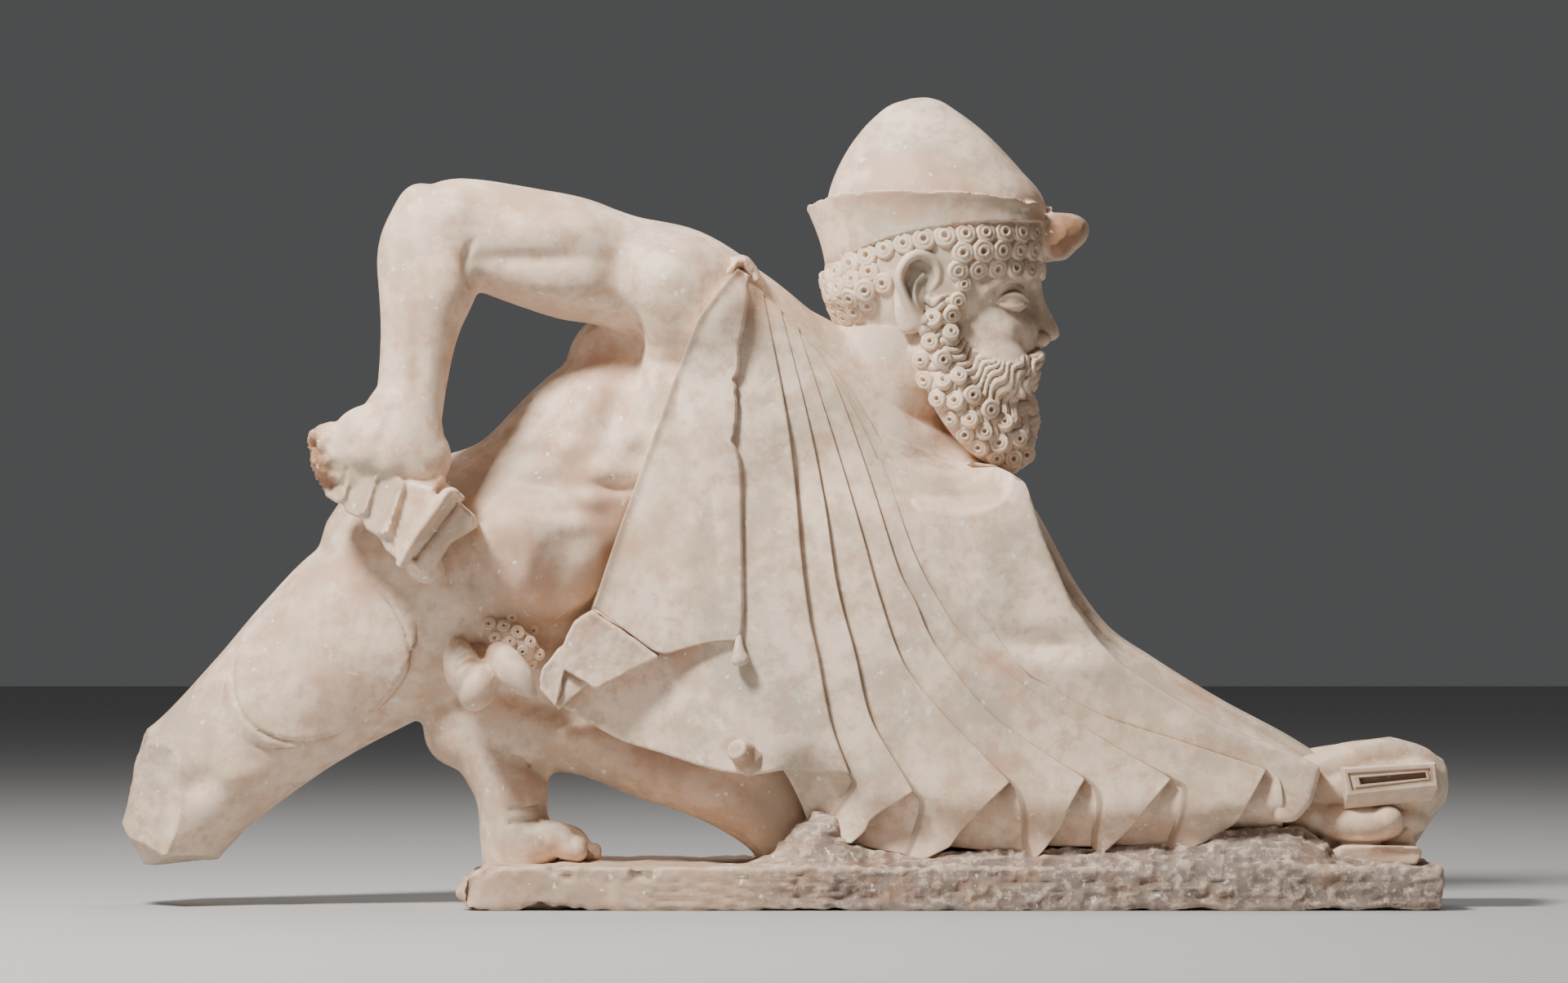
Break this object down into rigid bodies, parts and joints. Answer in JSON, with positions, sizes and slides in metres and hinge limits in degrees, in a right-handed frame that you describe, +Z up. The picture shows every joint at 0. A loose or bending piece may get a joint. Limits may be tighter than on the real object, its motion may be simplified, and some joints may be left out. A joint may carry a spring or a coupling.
{
  "type": "classical marble statue",
  "caption": "Marble figure of a bearded man in a pointed cap and cloak, lunging low over its own plinth, one thigh broken at the knee.",
  "frame": {"origin": "middle of the bounding box at the plinth's underside", "axes": "+X the way the figure faces, along its length; +Y from its front to its back; +Z up"},
  "size_m": [1.2894, 0.2962, 0.7927],
  "materials": {
    "marble": "worn, softly polished cream marble, rough where it is broken"
  },
  "bodies": {
    "root": {"statue": "marble"}
  },
  "joints": []
}
